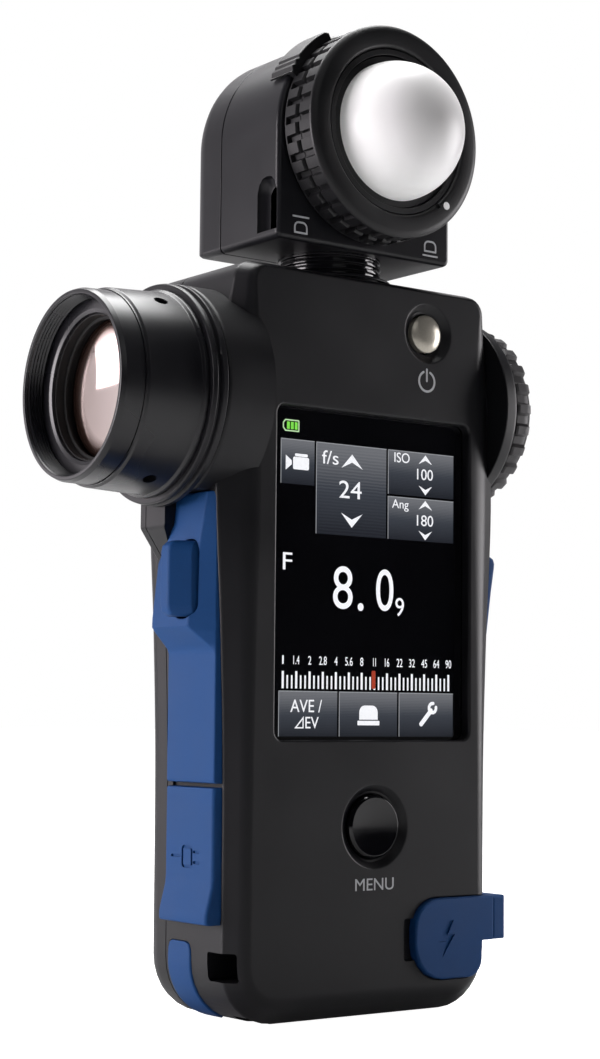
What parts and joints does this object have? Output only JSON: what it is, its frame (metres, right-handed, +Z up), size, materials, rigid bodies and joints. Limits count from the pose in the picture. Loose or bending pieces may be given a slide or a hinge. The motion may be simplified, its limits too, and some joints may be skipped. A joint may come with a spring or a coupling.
{
  "type": "handheld light meter",
  "caption": "Handheld exposure meter with a touch screen, swivelling head with a retractable opal dome, and a side-looking spot finder.",
  "frame": {"origin": "mouth of the tripod socket, in the middle of the base", "axes": "+Z up along the long side, -Y towards the user facing the screen, -X the way the spot finder looks"},
  "size_m": [0.094, 0.0526, 0.1765],
  "materials": {
    "case_black": "fine spark-eroded grain, satin black moulded plastic",
    "head_black": "smooth satin black moulded plastic",
    "ring_black": "matte black moulded plastic, fine grain on the face",
    "anodised_black": "satin black anodised aluminium",
    "rubber_blue": "matt royal-blue rubber",
    "rubber_black": "matt black rubber",
    "opal": "opal white diffuser, softly glossy",
    "lens_glass": "coated optical glass",
    "screen_glass": "polished touch glass over a lit display",
    "panel_grey": "display back panel",
    "board_green": "circuit board with solder mask",
    "steel": "plated steel",
    "brass": "machined brass, nickel flashed",
    "cell_wrap": "printed sleeve on a battery cell",
    "pearl": "pearl metallic button",
    "gloss_black": "polished black button",
    "mark_white": "filled index mark"
  },
  "bodies": {
    "meter_body": {"front_shell": "case_black", "rear_cover": "case_black", "battery_hinge_pin": "steel", "battery_tray": "case_black", "battery_cell_left": "cell_wrap", "battery_cell_right": "cell_wrap", "battery_contacts": "steel", "display_glass": "screen_glass", "display_panel": "panel_grey", "main_board": "board_green", "tripod_socket": "brass", "case_screws": "steel", "side_pad": "rubber_blue", "corner_inlay": "rubber_blue", "measuring_switch": "steel", "usb_port": "steel", "sync_terminal": "brass", "memory_switch": "steel", "front_switches": "steel", "lens_flange": "anodised_black", "lens_barrel": "anodised_black", "barrel_screws": "steel", "front_ring": "anodised_black", "lens_cell": "anodised_black", "objective_lens": "lens_glass", "finder_tube": "anodised_black", "beam_splitter": "lens_glass", "spot_sensor": "board_green", "eyepiece_housing": "ring_black", "eyepiece_lens": "lens_glass", "eyecup": "rubber_black", "neck_bushing": "ring_black"},
    "battery_door": {"battery_cover": "case_black"},
    "measuring_key": {"measuring_button": "rubber_blue"},
    "memory_key": {"memory_button": "rubber_blue"},
    "power_key": {"power_button": "pearl"},
    "menu_key": {"menu_button": "gloss_black"},
    "port_flap": {"usb_cap": "rubber_blue"},
    "sync_flap": {"sync_cap": "rubber_blue"},
    "diopter": {"diopter_ring": "ring_black"},
    "head": {"neck_post": "ring_black", "neck_retainer": "ring_black", "head_housing": "head_black", "head_rear_cover": "head_black", "head_screws": "steel", "guide_sleeve": "ring_black"},
    "retract_ring": {"turning_ring": "ring_black", "grip_ring": "ring_black", "index_dot": "mark_white"},
    "dome": {"dome_carrier": "ring_black", "lumisphere": "opal", "light_sensor": "board_green"}
  },
  "joints": [
    {"name": "head_swivel", "type": "hinge", "parent": "meter_body", "child": "head", "pos_m": [0, 0, 0.134], "axis": [0, 0, 1], "range_deg": [-180, 90]},
    {"name": "ring_turn", "type": "hinge", "parent": "head", "child": "retract_ring", "pos_m": [0, -0.0155, 0.1568], "axis": [0, 1, 0], "range_deg": [0, 85]},
    {"name": "dome_slide", "type": "slide", "parent": "head", "child": "dome", "axis": [0, 1, 0], "range_m": [0, 0.009]},
    {"name": "diopter_turn", "type": "hinge", "parent": "meter_body", "child": "diopter", "pos_m": [0.035, 0.0015, 0.1105], "axis": [1, 0, 0], "range_deg": [-120, 120]},
    {"name": "measuring_press", "type": "slide", "parent": "meter_body", "child": "measuring_key", "axis": [1, 0, 0], "range_m": [0, 0.0012], "stiffness_N_per_m": 1000, "springref_m": -0.0005},
    {"name": "memory_press", "type": "slide", "parent": "meter_body", "child": "memory_key", "axis": [-1, 0, 0], "range_m": [0, 0.001], "stiffness_N_per_m": 1000, "springref_m": -0.0005},
    {"name": "power_press", "type": "slide", "parent": "meter_body", "child": "power_key", "axis": [0, 1, 0], "range_m": [0, 0.0008], "stiffness_N_per_m": 1200, "springref_m": -0.0005},
    {"name": "menu_press", "type": "slide", "parent": "meter_body", "child": "menu_key", "axis": [0, 1, 0], "range_m": [0, 0.0008], "stiffness_N_per_m": 1200, "springref_m": -0.0005},
    {"name": "port_flap_hinge", "type": "hinge", "parent": "meter_body", "child": "port_flap", "pos_m": [-0.0312, -0.0022, 0.0402], "axis": [0, 1, 0], "range_deg": [0, 100]},
    {"name": "sync_flap_hinge", "type": "hinge", "parent": "meter_body", "child": "sync_flap", "pos_m": [0.0305, -0.0072, 0.016], "axis": [0, 0, 1], "range_deg": [0, 100]},
    {"name": "battery_door_hinge", "type": "hinge", "parent": "meter_body", "child": "battery_door", "pos_m": [0, 0.0134, 0.0129], "axis": [-1, 0, 0], "range_deg": [0, 95]}
  ],
  "couplings": [
    {"joint": "dome_slide", "follows": "ring_turn", "m_per_rad": 0.00606}
  ]
}
